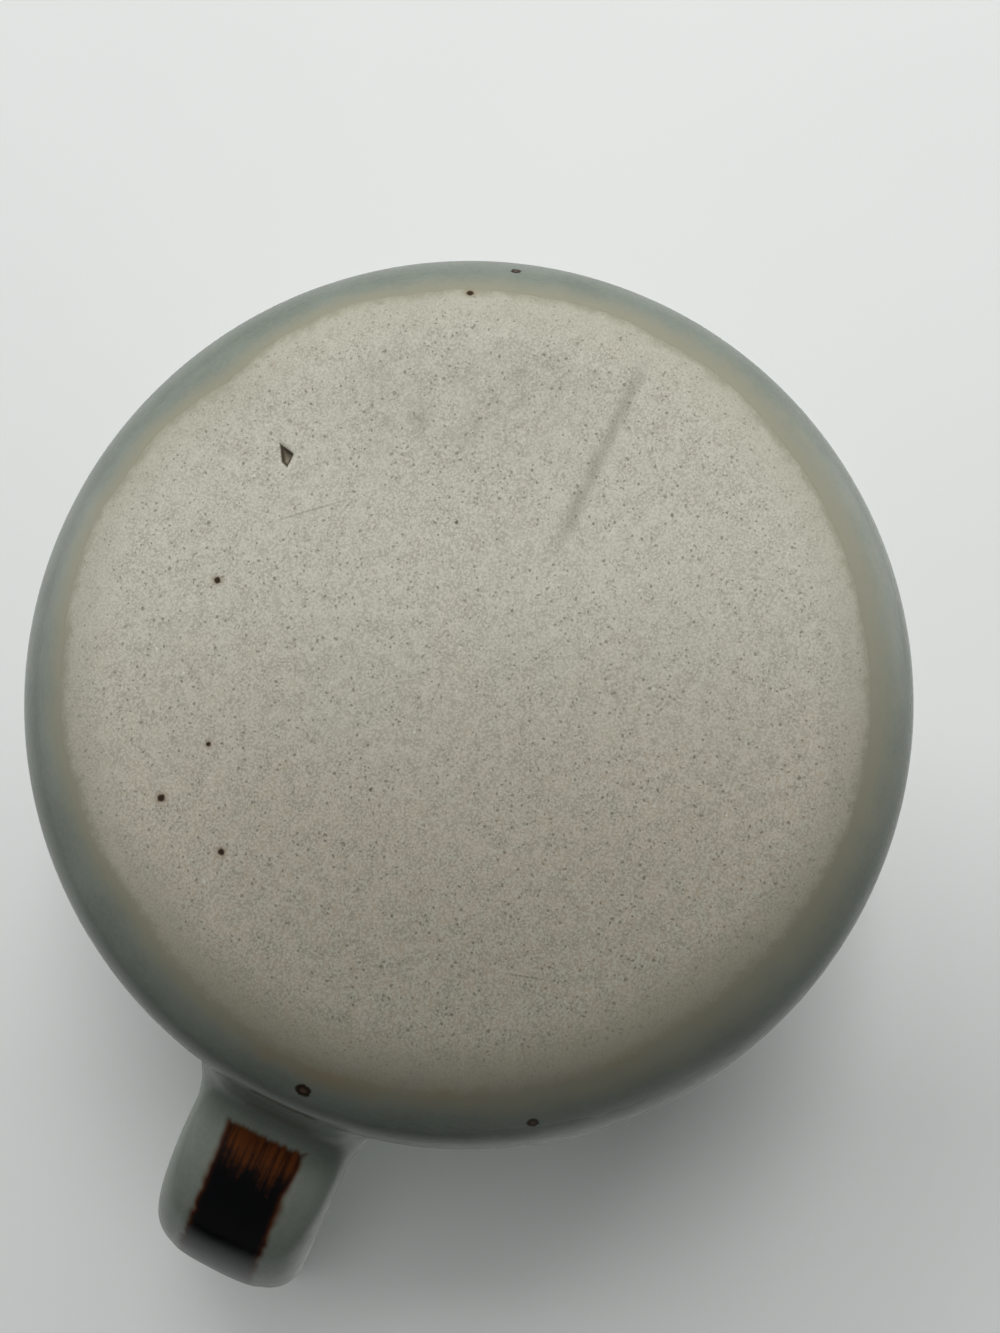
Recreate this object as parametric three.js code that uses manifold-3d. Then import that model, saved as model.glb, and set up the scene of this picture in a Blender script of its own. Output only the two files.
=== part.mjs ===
// A hand-thrown stoneware mug with a pulled strap handle, standing upright.
// Millimetres, +Z up. The origin is the centre of the flat underside, and the handle points along +X.

import * as THREE from "three";
import { mergeVertices } from "three/addons/utils/BufferGeometryUtils.js";
import Module from "manifold-3d";

const wasm = await Module();
wasm.setup();

// Pot: the widest clay, the lip, and the heel that rounds the wall into the flat underside
const RIM_HEIGHT = 95;
const RIM_RADIUS = 39.8;
const BELLY_RADIUS = 41.5;
const BELLY_HEIGHT = 38;
const HEEL_HEIGHT = 11;
const HEEL_REACH = 11.2;
const FOOT_WALL = 4.8;
const RIM_WALL = 3.6;
const FLOOR = 6;
const FLOOR_CORNER = 9;

// Glaze: the coat's thickness, its thin lower edge, and the height of that edge above the table
const GLAZE = 0.5;
const GLAZE_EDGE = 0.15;
const GLAZE_LINE_HEIGHT = 1.15;

// Handle: the strap, where its two ends meet the wall, and the room for a finger
const STRAP_WIDTH_LOW = 15.2;
const STRAP_WIDTH_TOP = 18.4;
const STRAP_THICKNESS = 7.4;
const LOWER_ROOT_HEIGHT = 17;
const UPPER_ROOT_DROP = 15.5;
const BOW_HEIGHT = 45;
const LOWER_LEAD = 6;
const UPPER_LEAD = 5;
const FINGER_GAP = 22;

// Slip joints: how far the fillet spreads on the wall, its run along the strap, and the thin edge it ends in
const FILLET_SPREAD = 5;
const FILLET_RUN = 7.5;
const FILLET_LIP = 0.3;

// Painted stripe on the outside of the strap: its ends are measured along the strap from its lower root
const BRUSH_WIDTH = 9.4;
const BRUSH_THICKNESS = 0.2;
const BRUSH_START = 4;
const BRUSH_END = 52;

// Gaps left between pieces that are cut to each other, and between the stripe and the glaze below it
const JOINT_GAP = 0.3;
const BRUSH_GAP = 0.05;

// Facets: segments round the pot, round the strap, and along each curve
const POT_SEGMENTS = 48;
const STRAP_SIDES = 20;
const HEEL_STEPS = 7;
const UNDERSIDE_STEPS = 2;
const WALL_STEPS = 5;
const LIP_STEPS = 3;
const CORNER_STEPS = 5;
const LEAD_STEPS = 7;
const BOW_STEPS = 8;
const BRUSH_STEPS_ACROSS = 6;
const CORNER_MERGE = 1e-4;

// Exponents of the strap's section, a flat oval: one is an ellipse and smaller is squarer
const SECTION_SQUARENESS = 0.62;
const SECTION_CROWN = 0.8;

const mix = THREE.MathUtils.lerp;
const QUARTER_TURN = Math.PI / 2;

// Pot profile

/** Radius of the bare wall's outside at a height, above the heel. */
function wallRadius(z) {
  const along = (z - BELLY_HEIGHT) / (RIM_HEIGHT - BELLY_HEIGHT);
  return BELLY_RADIUS - (BELLY_RADIUS - RIM_RADIUS) * along * along;
}

const baseRadius = wallRadius(HEEL_HEIGHT) - HEEL_REACH;

/** Point of the heel's quarter oval: turn 0 is the edge of the flat base, a quarter turn is the wall. */
function heelPoint(turn) {
  return new THREE.Vector2(baseRadius + HEEL_REACH * Math.sin(turn), HEEL_HEIGHT * (1 - Math.cos(turn)));
}

/** Radius of the pot's bare outside at a height, heel and wall. */
function outsideRadius(z) {
  if (z >= HEEL_HEIGHT) {
    return wallRadius(z);
  }
  return heelPoint(Math.acos(1 - Math.max(z, 0) / HEEL_HEIGHT)).x;
}

/** Radius of the bare wall's inside at a height. */
function insideRadius(z) {
  return wallRadius(z) - mix(FOOT_WALL, RIM_WALL, z / RIM_HEIGHT);
}

/** Points from one value to another, both ends included. */
function spread(from, to, steps, point) {
  return Array.from({ length: steps + 1 }, (_, i) => point(mix(from, to, i / steps)));
}

const lipRadius = RIM_WALL / 2;
const lipHeight = RIM_HEIGHT - lipRadius;
const lipCentre = (wallRadius(lipHeight) + insideRadius(lipHeight)) / 2;
const lipHalf = (wallRadius(lipHeight) - insideRadius(lipHeight)) / 2;
const glazeLineTurn = Math.acos(1 - GLAZE_LINE_HEIGHT / HEEL_HEIGHT);

/** Point of the rounded lip: turn 0 is the outside, half a turn is the inside. */
function lipPoint(turn) {
  return new THREE.Vector2(lipCentre + lipHalf * Math.cos(turn), lipHeight + lipRadius * Math.sin(turn));
}

/** Point of the rounded corner between the inside wall and the floor: turn 0 is the wall. */
function cornerPoint(turn) {
  const top = FLOOR + FLOOR_CORNER;
  const centre = insideRadius(top) - FLOOR_CORNER;
  return new THREE.Vector2(centre + FLOOR_CORNER * Math.cos(turn), top - FLOOR_CORNER * Math.sin(turn));
}

/** Bare outside from the glaze line up to the crown of the lip. */
function outsideProfile() {
  const heel = spread(glazeLineTurn, QUARTER_TURN, HEEL_STEPS - 1, heelPoint);
  const wall = spread(HEEL_HEIGHT, lipHeight, WALL_STEPS, (z) => new THREE.Vector2(wallRadius(z), z));
  const lip = spread(0, QUARTER_TURN, LIP_STEPS, lipPoint);
  return [...heel, ...wall.slice(1), ...lip.slice(1)];
}

/** Bare inside from the crown of the lip down to the centre of the floor. */
function insideProfile() {
  const lip = spread(QUARTER_TURN, Math.PI, LIP_STEPS, lipPoint);
  const low = FLOOR + FLOOR_CORNER;
  const wall = spread(lipHeight, low, WALL_STEPS, (z) => new THREE.Vector2(insideRadius(z), z));
  const corner = spread(0, QUARTER_TURN, CORNER_STEPS, cornerPoint);
  return [...lip, ...wall.slice(1), ...corner.slice(1), new THREE.Vector2(0, FLOOR)];
}

/** The same profile moved off the clay by a thickness that can differ from point to point. */
function coated(profile, thicknessAt) {
  return profile.map((point, i) => {
    const before = profile[Math.max(i - 1, 0)];
    const after = profile[Math.min(i + 1, profile.length - 1)];
    const along = after.clone().sub(before).normalize();
    const offset = thicknessAt(i);
    const onAxis = point.x === 0;
    const outward = onAxis ? new THREE.Vector2(0, 1) : new THREE.Vector2(along.y, -along.x);
    return point.clone().addScaledVector(outward, offset);
  });
}

// Outside and inside coats share the crown of the lip, where the clay's normal points straight up.
const bareOutside = outsideProfile();
const bareInside = insideProfile();
const crown = bareOutside.at(-1);
const glazedCrown = new THREE.Vector2(crown.x, crown.y + GLAZE);
const glazedOutside = coated(bareOutside, (i) => (i === 0 ? GLAZE_EDGE : GLAZE));
const glazedInside = coated(bareInside, () => GLAZE);
glazedOutside[glazedOutside.length - 1] = glazedCrown;
glazedInside[0] = glazedCrown;

// Solids

/** Solid of revolution about Z, from a profile walked with the material on its left. */
function revolve(profile) {
  return new THREE.LatheGeometry(profile, POT_SEGMENTS).rotateX(QUARTER_TURN);
}

/** Closed solid from a geometry, ready to be joined or cut. */
function solidOf(geometry) {
  const bare = geometry.clone();
  bare.deleteAttribute("normal");
  bare.deleteAttribute("uv");
  const merged = mergeVertices(bare, CORNER_MERGE);
  const corners = merged.index.array;
  const triangles = [];
  for (let i = 0; i < corners.length; i += 3) {
    const [a, b, c] = corners.slice(i, i + 3);
    if (a !== b && b !== c && c !== a) {
      triangles.push(a, b, c);
    }
  }
  const mesh = new wasm.Mesh({
    numProp: 3,
    vertProperties: merged.attributes.position.array,
    triVerts: new Uint32Array(triangles),
  });
  return new wasm.Manifold(mesh);
}

/** Geometry of a solid after it has been joined or cut. */
function geometryOf(solid) {
  const mesh = solid.getMesh();
  const geometry = new THREE.BufferGeometry();
  geometry.setAttribute("position", new THREE.BufferAttribute(mesh.vertProperties, 3));
  geometry.setIndex(new THREE.BufferAttribute(mesh.triVerts, 1));
  geometry.computeVertexNormals();
  return geometry;
}

/** The pot's outside as a plug to cut with: its bare outline grown by a distance. */
function potPlug(growth) {
  const base = new THREE.Vector2(0, -growth);
  const heel = spread(0, QUARTER_TURN, HEEL_STEPS, heelPoint);
  const wall = spread(HEEL_HEIGHT, RIM_HEIGHT, WALL_STEPS, (z) => new THREE.Vector2(wallRadius(z), z));
  const outline = coated([...heel, ...wall.slice(1)], () => growth);
  return solidOf(revolve([base, ...outline, new THREE.Vector2(0, RIM_HEIGHT)]));
}

// Handle

const bowRadius = BELLY_RADIUS + GLAZE + FINGER_GAP + GLAZE + STRAP_THICKNESS / 2;
const upperRootHeight = RIM_HEIGHT - UPPER_ROOT_DROP;

/** Centre line of the strap in the XZ plane, from inside the wall at the foot round to inside the wall above. */
function strapPath() {
  const lowWall = outsideRadius(LOWER_ROOT_HEIGHT);
  const topWall = outsideRadius(upperRootHeight);
  const lowBend = lowWall + LOWER_LEAD;
  const topBend = topWall + UPPER_LEAD;
  const at = (x, z, tangentX, tangentZ) => ({
    centre: new THREE.Vector3(x, 0, z),
    tangent: new THREE.Vector3(tangentX, 0, tangentZ).normalize(),
  });
  const bow = (startX, endHeight) => (turn) => {
    const across = bowRadius - startX;
    const rise = endHeight - BOW_HEIGHT;
    const side = Math.sign(rise);
    return at(
      startX + across * Math.cos(turn),
      BOW_HEIGHT + rise * Math.sin(turn),
      -side * across * Math.sin(turn),
      Math.abs(rise) * Math.cos(turn),
    );
  };
  const lowLead = spread(lowWall - FOOT_WALL, lowBend, LEAD_STEPS, (x) => at(x, LOWER_ROOT_HEIGHT, 1, 0));
  const lowBow = spread(QUARTER_TURN, 0, BOW_STEPS, bow(lowBend, LOWER_ROOT_HEIGHT));
  const topBow = spread(0, QUARTER_TURN, BOW_STEPS, bow(topBend, upperRootHeight));
  const topLead = spread(topBend, topWall - RIM_WALL, LEAD_STEPS, (x) => at(x, upperRootHeight, -1, 0));
  return [...lowLead, ...lowBow.slice(1), ...topBow.slice(1), ...topLead.slice(1)];
}

/** Each station of the path with its outward direction, its distance from the wall and its strap width. */
function strapStations() {
  const path = strapPath();
  let distance = -FOOT_WALL;
  const stations = path.map((station, i) => {
    distance += i === 0 ? 0 : station.centre.distanceTo(path[i - 1].centre);
    const outward = new THREE.Vector3(station.tangent.z, 0, -station.tangent.x);
    return { ...station, outward, distance };
  });
  for (const station of stations) {
    station.width = mix(STRAP_WIDTH_LOW, STRAP_WIDTH_TOP, station.distance / distance);
  }
  return stations;
}

const stations = strapStations();
const lastStation = stations.length - 1;

const signedPower = (value, exponent) => Math.sign(value) * Math.abs(value) ** exponent;

/** A point of the strap's section, grown by a distance: turn 0 is the strap's edge, a quarter turn its back. */
function sectionPoint(station, turn, growth) {
  const across = signedPower(Math.cos(turn), SECTION_SQUARENESS) * (station.width / 2 + growth);
  const out = signedPower(Math.sin(turn), SECTION_CROWN) * (STRAP_THICKNESS / 2 + growth);
  const point = station.centre.clone().addScaledVector(station.outward, out);
  point.y += across;
  return point;
}

/** Distance of a point from the pot's bare outside, level with it. */
function clearOfPot(point) {
  return Math.hypot(point.x, point.y) - outsideRadius(point.z);
}

/** How far the slip fillet stands off the strap at a point: all of its spread at the wall, its lip at its end. */
function filletAt(point) {
  const near = 1 - THREE.MathUtils.clamp(clearOfPot(point) / FILLET_RUN, 0, 1);
  return Math.max(FILLET_SPREAD * near * near, FILLET_LIP);
}

/** One ring of the strap's section, grown by a coat and, inside a slip joint, by its fillet. */
function ring(index, { coat = 0, fillet = false }) {
  const station = stations[index];
  return Array.from({ length: STRAP_SIDES }, (_, i) => {
    const turn = (2 * Math.PI * i) / STRAP_SIDES;
    const joint = fillet ? filletAt(sectionPoint(station, turn, 0)) : 0;
    return sectionPoint(station, turn, joint + coat);
  });
}

/** Last and first stations of the two slip joints, the nearest that lie a whole fillet clear of the wall. */
function jointReach() {
  const clear = (index) => ring(index, {}).every((point) => clearOfPot(point) > FILLET_RUN);
  const low = stations.findIndex((_, i) => clear(i));
  const top = stations.findLastIndex((_, i) => clear(i));
  return { low, top };
}

const reach = jointReach();

const indices = (from, to) => Array.from({ length: to - from + 1 }, (_, i) => from + i);

/** Triangles of a closed body through matching rings: solid, or a tube when it is given inner rings. */
function loft(outer, inner) {
  const sides = outer[0].length;
  const end = outer.length - 1;
  const points = [...outer.flat(), ...(inner ?? []).flat()];
  const corner = (hollow, i, k) => (hollow ? outer.length : 0) * sides + i * sides + (k % sides);
  const triangles = [];
  const quad = (a, b, c, d) => triangles.push(a, b, c, a, c, d);
  for (let k = 0; k < sides; k += 1) {
    for (let i = 0; i < end; i += 1) {
      quad(corner(false, i, k), corner(false, i + 1, k), corner(false, i + 1, k + 1), corner(false, i, k + 1));
      if (inner) {
        quad(corner(true, i, k), corner(true, i, k + 1), corner(true, i + 1, k + 1), corner(true, i + 1, k));
      }
    }
    if (inner) {
      quad(corner(false, 0, k), corner(false, 0, k + 1), corner(true, 0, k + 1), corner(true, 0, k));
      quad(corner(true, end, k), corner(true, end, k + 1), corner(false, end, k + 1), corner(false, end, k));
    } else if (k > 0 && k < sides - 1) {
      triangles.push(corner(false, 0, 0), corner(false, 0, k), corner(false, 0, k + 1));
      triangles.push(corner(false, end, 0), corner(false, end, k + 1), corner(false, end, k));
    }
  }
  const geometry = new THREE.BufferGeometry().setFromPoints(points);
  geometry.setIndex(triangles);
  return geometry;
}

const barePlug = potPlug(JOINT_GAP);
const glazedPlug = potPlug(GLAZE + JOINT_GAP);
const lowJoint = indices(0, reach.low);
const topJoint = indices(reach.top, lastStation);

/** Clay strap, cut to the wall at both ends. */
function strapGeometry() {
  const rings = indices(0, lastStation).map((i) => ring(i, {}));
  return geometryOf(solidOf(loft(rings)).subtract(barePlug));
}

/** Collar of slip round one end of the strap, cut to the wall. */
function jointGeometry(range) {
  const outer = range.map((i) => ring(i, { fillet: true }));
  const inner = range.map((i) => ring(i, {}));
  return geometryOf(solidOf(loft(outer, inner)).subtract(barePlug));
}

/** Coat over the strap and both collars, cut to the glazed wall. */
function handleGlazeGeometry() {
  const layer = (coat) => [
    ...lowJoint.map((i) => ring(i, { coat, fillet: true })),
    ...indices(reach.low, reach.top).map((i) => ring(i, { coat })),
    ...topJoint.map((i) => ring(i, { coat, fillet: true })),
  ];
  return geometryOf(solidOf(loft(layer(GLAZE), layer(0))).subtract(glazedPlug));
}

/** Outside coat of the pot, open where the two collars sit on the bare wall. */
function outerGlazeGeometry() {
  const coat = solidOf(revolve([...glazedOutside, ...bareOutside.toReversed(), glazedOutside[0]]));
  const sockets = [lowJoint, topJoint].map((range) =>
    solidOf(loft(range.map((i) => ring(i, { coat: JOINT_GAP, fillet: true })))),
  );
  return geometryOf(sockets.reduce((rest, socket) => rest.subtract(socket), coat));
}

/** Points across the back of the strap at a station, off the coat by a gap, and off the collar near the root. */
function stripeRow(station, gap) {
  const half = station.width / 2 + GLAZE;
  const onCollar = station.distance <= stations[reach.low].distance;
  return spread(BRUSH_WIDTH / 2, -BRUSH_WIDTH / 2, BRUSH_STEPS_ACROSS, (across) => {
    const turn = Math.acos(signedPower(across / half, 1 / SECTION_SQUARENESS));
    const collar = onCollar ? filletAt(sectionPoint(station, turn, 0)) : 0;
    return sectionPoint(station, turn, GLAZE + collar).addScaledVector(station.outward, gap);
  });
}

/** The same at a distance from the wall at the strap's lower root, between two stations. */
function stripeRowAt(distance, gap) {
  const after = stations.findIndex((station) => station.distance >= distance);
  const from = stations[after - 1];
  const to = stations[after];
  const share = (distance - from.distance) / (to.distance - from.distance);
  const ahead = stripeRow(to, gap);
  return stripeRow(from, gap).map((point, i) => point.lerp(ahead[i], share));
}

/** Painted stripe: a thin strip that lies on the glaze along the back of the strap. */
function brushGeometry() {
  const between = stations.filter(({ distance }) => distance > BRUSH_START && distance < BRUSH_END);
  const layer = (gap) => [
    stripeRowAt(BRUSH_START, gap),
    ...between.map((station) => stripeRow(station, gap)),
    stripeRowAt(BRUSH_END, gap),
  ];
  const top = layer(BRUSH_GAP + BRUSH_THICKNESS);
  const under = layer(BRUSH_GAP);
  return loft(top.map((row, i) => [...row, ...under[i].toReversed()]));
}

// Assembly

const CLAY = { color: 0xbab6a9, roughness: 0.92, metalness: 0 };
const SLIP = { color: 0xb1ac9d, roughness: 0.9, metalness: 0 };
const GREY_GLAZE = { color: 0x9aa39a, roughness: 0.16, metalness: 0 };
const PALE_GLAZE = { color: 0xa6ada2, roughness: 0.16, metalness: 0 };
const BROWN_PIGMENT = { color: 0x4a2412, roughness: 0.25, metalness: 0 };

const mug = new THREE.Group();

/** Adds one named piece, in its own finish. */
function addPiece(name, geometry, finish) {
  const piece = new THREE.Mesh(geometry, new THREE.MeshStandardMaterial(finish));
  piece.name = name;
  mug.add(piece);
}

const underside = spread(0, glazeLineTurn, UNDERSIDE_STEPS, heelPoint);
const clayProfile = [new THREE.Vector2(0, 0), ...underside, ...bareOutside.slice(1), ...bareInside.slice(1)];

addPiece("clay_body", revolve(clayProfile), CLAY);
addPiece("outer_glaze", outerGlazeGeometry(), GREY_GLAZE);
addPiece("liner_glaze", revolve([...bareInside.toReversed(), ...glazedInside]), PALE_GLAZE);
addPiece("handle_strap", strapGeometry(), CLAY);
addPiece("lower_slip_joint", jointGeometry(lowJoint), SLIP);
addPiece("upper_slip_joint", jointGeometry(topJoint), SLIP);
addPiece("handle_glaze", handleGlazeGeometry(), GREY_GLAZE);
addPiece("handle_brush_band", brushGeometry(), BROWN_PIGMENT);

export default mug;
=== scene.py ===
"""Looks of a hand-made stoneware mug: bare speckled clay underneath, grey-green glaze and a brushed handle.

Shapes are worked out in millimetres in the mug's own frame, +Z up out of the mouth and +X along the handle,
and become metres when a mesh is made. The camera looks up at the underside, as the photograph does.
"""

import math

import bmesh
import bpy
import numpy as np
from mathutils import Matrix, Vector, noise
from mathutils.bvhtree import BVHTree


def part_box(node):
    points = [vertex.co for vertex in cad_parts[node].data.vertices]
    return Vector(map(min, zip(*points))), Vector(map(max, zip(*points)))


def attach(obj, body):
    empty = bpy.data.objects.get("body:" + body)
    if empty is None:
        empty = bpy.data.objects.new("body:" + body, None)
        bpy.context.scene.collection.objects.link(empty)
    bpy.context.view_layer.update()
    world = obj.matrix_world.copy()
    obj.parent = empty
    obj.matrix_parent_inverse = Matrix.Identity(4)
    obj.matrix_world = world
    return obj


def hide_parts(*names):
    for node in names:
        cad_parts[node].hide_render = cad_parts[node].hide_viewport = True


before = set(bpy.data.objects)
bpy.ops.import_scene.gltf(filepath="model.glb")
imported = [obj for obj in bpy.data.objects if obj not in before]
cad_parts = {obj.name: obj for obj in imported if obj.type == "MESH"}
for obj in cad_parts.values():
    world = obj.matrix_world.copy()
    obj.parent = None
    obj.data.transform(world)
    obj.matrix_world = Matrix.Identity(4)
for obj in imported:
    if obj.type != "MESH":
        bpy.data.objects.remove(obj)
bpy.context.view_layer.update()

MM = 0.001


def box_mm(node):
    """Lowest and highest corner of a solid, in millimetres."""
    low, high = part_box(node)
    return np.array(low) / MM, np.array(high) / MM


# Sizes that the solids give
clay_corner = box_mm("clay_body")[1]
strap_low, strap_high = box_mm("handle_strap")

BELLY_RADIUS = clay_corner[0]
RIM_HEIGHT = clay_corner[2]
COAT = box_mm("outer_glaze")[1][2] - RIM_HEIGHT
FLOOR = box_mm("liner_glaze")[0][2]
BRUSH_HALF_WIDTH = box_mm("handle_brush_band")[1][1]

# Curves between those sizes
RIM_RADIUS = 39.8
BELLY_HEIGHT = 38.0
HEEL_HEIGHT = 11.0
HEEL_REACH = 11.2
FOOT_WALL = 4.8
RIM_WALL = 3.6
FLOOR_CORNER = 9.0
STRAP_THICKNESS = 7.4
STRAP_WIDTH_LOW = 15.2
STRAP_WIDTH_TOP = 18.4
BOW_HEIGHT = 45.0
LOWER_LEAD = 6.0
UPPER_LEAD = 5.0
LOWER_FILLET = 7.0
UPPER_FILLET = 6.0
SECTION_SQUARENESS = 0.62
SECTION_CROWN = 0.8
BRUSH_START = 4.0
BRUSH_END = 52.0

# Traces of the hand that threw the mug: rings on the wall and inside, and a slightly oval belly
RING_DEPTH = 0.05
RING_PITCH = 7.5
RINGS_FULL = 2.5 * HEEL_HEIGHT
RINGS_FADE = 0.9 * RIM_HEIGHT
LINER_RING_DEPTH = 0.09
LINER_RING_PITCH = 6.5
LINER_RINGS_FULL = 9.0
OVAL = 0.2
OVAL_FULL = 2 * HEEL_HEIGHT
OVAL_AZIMUTH = math.radians(60)

# Unevenness, in layers of depth, size of the lumps and pattern
UNDERSIDE_LUMPS = ((0.05, 9.0, 0.0), (0.016, 2.4, 3.0), (0.006, 0.6, 7.0))
GLAZE_LINE_LUMPS = ((0.28, 4.0, 11.0), (0.14, 1.3, 17.0))
GLAZE_END_LUMPS = ((0.5, 6.0, 23.0),)
HANDLE_LUMPS = ((0.12, 11.0, 31.0),)
PATTERN_WAY = (1.0, 2.7, -1.3)

# Wiped edge of the glaze on the heel, an off-centre circle; its waves are azimuth, half width and reach
GLAZE_LINE_RADIUS = 34.8
GLAZE_LINE_SHIFT = 1.0
GLAZE_LINE_AZIMUTH = math.radians(165)
GLAZE_LINE_WAVES = (
    (-100, 16, 0.5),
    (-59, 10, -0.5),
    (-8, 14, 0.3),
    (33, 14, -0.8),
    (84, 12, 0.6),
    (119, 9, -1.2),
)
GLAZE_EDGE = 0.008
GLAZE_TAPER = 7.0
FULL_COVER = 20.0

# The side on which the glaze ran thinner, from a cosine on, and the side that the kiln's flame warmed, on
# which painted shade also darkens the clay next to the glaze
THIN_SIDE = math.radians(-105)
THIN_FROM = -0.2
FLAME_AND_SHADE_SIDE = math.radians(-24)
FLAME_AND_SHADE_WAY = (math.cos(FLAME_AND_SHADE_SIDE), math.sin(FLAME_AND_SHADE_SIDE), 0)

# Marks in the clay underneath, by their place on the base; the chip's corners run anticlockwise
CHIP = ((-13.18, 23.14), (-12.85, 21.65), (-11.52, 21.68), (-11.77, 22.32))
CHIP_DEPTH = 0.6
CHIP_SIDE = (-0.1, 0.4)
CREASE = ((-34.5, -2.8), (-12.1, -2.6))
CREASE_DEPTH = 0.16
CREASE_HALF_WIDTH = 0.7
CREASE_FADE = 0.25
RELIEF_END = (30.5, 33.0)
SCRATCHES = (
    ((-6.57, 20.96), (-10.97, 15.83)),
    ((19.9, -13.2), (18.9, -16.6)),
    ((24.6, -16.9), (26.1, -18.2)),
)
SMUDGES = ((-26.0, 6.0, 0.0, 11.0), (-21.0, 14.0, 0.0, 10.0))

# Iron spots by place and radius: bare ones in the clay, ringed ones that boiled through the heel's glaze
IRON_SPOTS = (
    (-0.13, 23.01, 0.0, 0.42),
    (18.74, 19.39, 0.0, 0.45),
    (12.92, 17.68, 0.0, 0.3),
    (20.71, 12.76, 0.0, 0.4),
    (-19.32, 26.95, 0.0, 0.38),
    (-32.45, 13.85, 1.34, 0.42),
)
RINGED_SPOTS = ((36.5, -1.87, 1.9, 0.85), (30.77, -20.81, 2.26, 0.6), (-36.87, 11.42, 3.67, 0.55))


def smooth(low, high, value):
    """0 below low, 1 above high and an easy curve between."""
    t = np.clip((value - low) / (high - low), 0, 1)
    return t * t * (3 - 2 * t)


def uneven(points, layers):
    """Smooth noise at millimetre points, either way from zero, summed over its layers."""
    total = np.zeros(len(points))
    for depth, size, pattern in layers:
        shift = Vector([pattern * way for way in PATTERN_WAY])
        total += depth * np.array([noise.noise(Vector(p) / size + shift) for p in points])
    return total


def chained(runs):
    """Both coordinates of runs that each start where the last ends, the distance along and the direction."""
    first = np.concatenate([runs[0][0]] + [a[1:] for a, _ in runs[1:]])
    second = np.concatenate([runs[0][1]] + [b[1:] for _, b in runs[1:]])
    along = np.concatenate([[0], np.cumsum(np.hypot(np.diff(first), np.diff(second)))])
    way = np.c_[np.gradient(first, along), np.gradient(second, along)]
    way /= np.linalg.norm(way, axis=1)[:, None]
    return first, second, along, way


# Pot outline

FLAT_POINTS = 600
CORNER_POINTS = 400
LIP_POINTS = 300
OUTSIDE_POINTS = 1800
INSIDE_POINTS = 1600


def wall_radius(z):
    along = (z - BELLY_HEIGHT) / (RIM_HEIGHT - BELLY_HEIGHT)
    return BELLY_RADIUS - (BELLY_RADIUS - RIM_RADIUS) * along * along


def inside_radius(z):
    return wall_radius(z) - (FOOT_WALL + (RIM_WALL - FOOT_WALL) * z / RIM_HEIGHT)


class Outline:
    """The bare pot's outline, from the middle of the underside, over the lip, to the middle of the floor."""

    def __init__(self):
        base = wall_radius(HEEL_HEIGHT) - HEEL_REACH
        lip_radius = RIM_WALL / 2
        lip_height = RIM_HEIGHT - lip_radius
        lip_centre = (wall_radius(lip_height) + inside_radius(lip_height)) / 2
        lip_half = (wall_radius(lip_height) - inside_radius(lip_height)) / 2
        corner_top = FLOOR + FLOOR_CORNER
        corner_centre = inside_radius(corner_top) - FLOOR_CORNER
        quarter = np.linspace(0, math.pi / 2, CORNER_POINTS)
        half = np.linspace(0, math.pi, LIP_POINTS)
        up = np.linspace(HEEL_HEIGHT, lip_height, OUTSIDE_POINTS)
        down = np.linspace(lip_height, corner_top, INSIDE_POINTS)
        runs = (
            (np.linspace(0, base, FLAT_POINTS), np.zeros(FLAT_POINTS)),
            (base + HEEL_REACH * np.sin(quarter), HEEL_HEIGHT * (1 - np.cos(quarter))),
            (wall_radius(up), up),
            (lip_centre + lip_half * np.cos(half), lip_height + lip_radius * np.sin(half)),
            (inside_radius(down), down),
            (corner_centre + FLOOR_CORNER * np.cos(quarter), corner_top - FLOOR_CORNER * np.sin(quarter)),
            (np.linspace(corner_centre, 0, FLAT_POINTS), np.full(FLAT_POINTS, FLOOR)),
        )
        self.radius, self.height, self.along, way = chained(runs)
        self.out_radius, self.out_height = way[:, 1], -way[:, 0]
        ends = np.cumsum([len(r) - 1 for r, _ in runs])
        self.heel, self.wall, self.lip, self.inside, *_, self.end = self.along[ends]
        self.crown = (self.lip + self.inside) / 2

    def place(self, along, thickness=0.0):
        """Radius and height at a distance along the outline, moved off the clay by a thickness."""
        columns = (self.radius, self.height, self.out_radius, self.out_height)
        r, z, out_r, out_z = (np.interp(along, self.along, c) for c in columns)
        return r + out_r * thickness, z + out_z * thickness


pot = Outline()


def thrown(azimuth, z):
    """How far the wall stands out from a true round: throwing rings and a slightly oval belly."""
    body = smooth(HEEL_HEIGHT, RINGS_FULL, z) * (1 - smooth(RINGS_FADE, RIM_HEIGHT, z))
    rings = RING_DEPTH * np.sin(2 * math.pi * z / RING_PITCH + azimuth) * body
    oval = OVAL * np.cos(2 * (azimuth - OVAL_AZIMUTH)) * smooth(0, OVAL_FULL, z)
    return rings + oval


def ring_points(azimuth, r, z, uneven_wall=True):
    """Points of one ring, with radius and height given per point or once for all."""
    r = r + thrown(azimuth, z) if uneven_wall else r + 0 * azimuth
    return np.c_[r * np.cos(azimuth), r * np.sin(azimuth), z + 0 * azimuth]


def azimuths(count):
    return np.arange(count) * 2 * math.pi / count


# Meshes

SHARP_ANGLE = math.radians(50)
FEWEST_SEGMENTS = 20
RING_SHRINK = 0.6


def make_object(name, points, faces, body="root"):
    """A smooth closed mesh object from millimetre points, riding on a body of the frame."""
    mesh = bpy.data.meshes.new(name)
    mesh.from_pydata((np.asarray(points) * MM).tolist(), [], faces)
    work = bmesh.new()
    work.from_mesh(mesh)
    bmesh.ops.recalc_face_normals(work, faces=work.faces)
    work.to_mesh(mesh)
    work.free()
    mesh.shade_smooth()
    mesh.set_sharp_from_angle(angle=SHARP_ANGLE)
    obj = bpy.data.objects.new(name, mesh)
    bpy.context.scene.collection.objects.link(obj)
    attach(obj, body)
    return obj


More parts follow.
